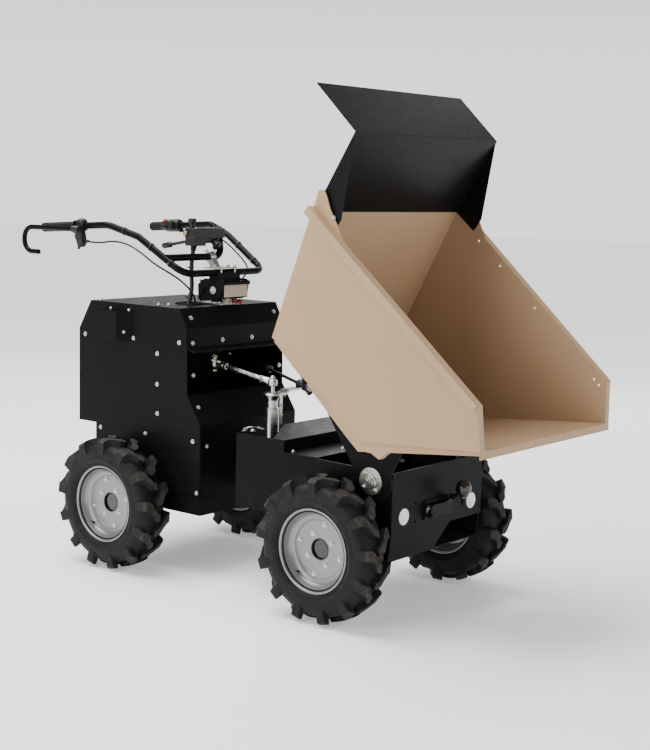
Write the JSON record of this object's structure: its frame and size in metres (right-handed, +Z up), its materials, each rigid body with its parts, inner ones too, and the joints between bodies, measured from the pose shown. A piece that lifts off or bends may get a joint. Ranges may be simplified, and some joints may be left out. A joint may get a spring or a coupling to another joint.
{
  "type": "site dumper",
  "caption": "Walk-behind wheeled site dumper, articulated in the middle, with a forward-tipping skip, spill guard and handlebar steering.",
  "frame": {"origin": "on the floor under the middle of the whole machine's box", "axes": "+X forward to the skip's lip, +Y to the left, +Z up"},
  "size_m": [1.843, 0.743, 1.4683],
  "materials": {
    "beige_paint": "satin",
    "black_paint": "satin powder coat",
    "black_plastic": "moulded",
    "cable_sheath": "smooth sheath",
    "chrome_rod": "polished",
    "grip_rubber": "ribbed matte",
    "rim_paint": "silver paint",
    "tan_paint": "satin powder coat",
    "tyre": "matte, dusty",
    "zinc": "zinc plated"
  },
  "bodies": {
    "rear_chassis": {"rear_side_panel_left": "black_paint", "rear_side_panel_right": "black_paint", "rear_top_cover": "black_paint", "rear_front_upper_panel": "black_paint", "rear_front_lower_panel": "black_paint", "rear_recess_tray": "black_paint", "rear_step_panel": "black_paint", "rear_belly_pan": "black_paint", "battery_pack": "black_plastic", "motor_controller": "black_plastic", "charge_socket_cover": "black_paint", "articulation_tube": "black_paint", "articulation_carrier": "black_paint", "column_bearing": "zinc", "damper_anchor": "zinc", "rear_axle_stubs": "zinc"},
    "front_frame": {"front_side_panel_left": "black_paint", "front_side_panel_right": "black_paint", "front_deck": "black_paint", "front_nose_plate": "black_paint", "front_floor": "black_paint", "articulation_yoke": "black_paint", "steering_post": "zinc", "skip_latch_lever": "black_paint", "front_axle_stubs": "zinc"},
    "skip": {"skip_tub": "tan_paint", "skip_side_left": "tan_paint", "skip_side_right": "tan_paint", "skip_rails": "tan_paint", "skip_hangers": "black_paint", "skip_pivot_stubs": "zinc", "skip_ram_lugs": "black_paint", "spill_guard": "black_paint"},
    "tip_cylinder": {"tip_cylinder": "black_paint"},
    "tip_ram": {"tip_ram": "chrome_rod"},
    "handlebar": {"handlebar_tube": "black_paint", "handlebar_strut": "black_paint", "handlebar_mount": "zinc", "handlebar_bracket": "beige_paint", "steering_column": "black_paint", "handlebar_grips": "grip_rubber", "switch_housing": "black_plastic", "hand_guard_bar": "black_paint", "brake_lever_bracket": "black_plastic", "switch_console": "black_plastic", "brake_cable": "cable_sheath", "control_harness": "cable_sheath", "switch_cable": "cable_sheath"},
    "tie_rod": {"tie_rod": "zinc"},
    "damper_body": {"damper_body": "black_paint"},
    "damper_rod": {"damper_rod": "chrome_rod"},
    "wheel_front_left": {"tyre_front_left": "tyre", "rim_front_left": "rim_paint"},
    "wheel_front_right": {"tyre_front_right": "tyre", "rim_front_right": "rim_paint"},
    "wheel_rear_left": {"tyre_rear_left": "tyre", "rim_rear_left": "rim_paint"},
    "wheel_rear_right": {"tyre_rear_right": "tyre", "rim_rear_right": "rim_paint"}
  },
  "joints": [
    {"name": "articulation", "type": "hinge", "parent": "rear_chassis", "child": "front_frame", "pos_m": [-0.0766, 0, 0.336], "axis": [0, 0, 1], "range_deg": [-30, 30]},
    {"name": "skip_tip", "type": "hinge", "parent": "front_frame", "child": "skip", "pos_m": [0.5114, 0, 0.401], "axis": [0, 1, 0], "range_deg": [-39.5, 35]},
    {"name": "tip_cylinder_swing", "type": "hinge", "parent": "front_frame", "child": "tip_cylinder", "pos_m": [0.3934, 0, 0.235], "axis": [0, 1, 0], "range_deg": [-13.5, 12]},
    {"name": "tip_ram_slide", "type": "slide", "parent": "tip_cylinder", "child": "tip_ram", "axis": [0.1585, 0, 0.9874], "range_m": [-0.062, 0.055]},
    {"name": "handlebar_turn", "type": "hinge", "parent": "rear_chassis", "child": "handlebar", "pos_m": [-0.2966, 0, 0.82], "axis": [0, 0, 1], "range_deg": [-18, 18]},
    {"name": "tie_rod_swing", "type": "hinge", "parent": "handlebar", "child": "tie_rod", "pos_m": [-0.2466, -0.061, 0.643], "axis": [0, 0, 1], "range_deg": [-15.5, 15.5]},
    {"name": "damper_swing", "type": "hinge", "parent": "rear_chassis", "child": "damper_body", "pos_m": [-0.3366, 0.098, 0.666], "axis": [0, 0.5015, 0.8652], "range_deg": [-5.5, 5.5]},
    {"name": "damper_slide", "type": "slide", "parent": "damper_body", "child": "damper_rod", "axis": [0.9625, 0.0248, -0.2701], "range_m": [-0.052, 0.052]},
    {"name": "wheel_front_left_spin", "type": "hinge", "parent": "front_frame", "child": "wheel_front_left", "pos_m": [0.4034, 0.308, 0.206], "axis": [0, 1, 0], "continuous": true},
    {"name": "wheel_front_right_spin", "type": "hinge", "parent": "front_frame", "child": "wheel_front_right", "pos_m": [0.4034, -0.308, 0.206], "axis": [0, 1, 0], "continuous": true},
    {"name": "wheel_rear_left_spin", "type": "hinge", "parent": "rear_chassis", "child": "wheel_rear_left", "pos_m": [-0.4386, 0.308, 0.206], "axis": [0, 1, 0], "continuous": true},
    {"name": "wheel_rear_right_spin", "type": "hinge", "parent": "rear_chassis", "child": "wheel_rear_right", "pos_m": [-0.4386, -0.308, 0.206], "axis": [0, 1, 0], "continuous": true}
  ],
  "couplings": [
    {"joint": "tip_cylinder_swing", "follows": "skip_tip", "ratio": 0.334},
    {"joint": "tip_ram_slide", "follows": "skip_tip", "m_per_rad": 0.0894},
    {"joint": "handlebar_turn", "follows": "articulation", "ratio": 0.598},
    {"joint": "tie_rod_swing", "follows": "articulation", "ratio": -0.512},
    {"joint": "damper_swing", "follows": "articulation", "ratio": 0.179},
    {"joint": "damper_slide", "follows": "articulation", "m_per_rad": -0.098}
  ]
}
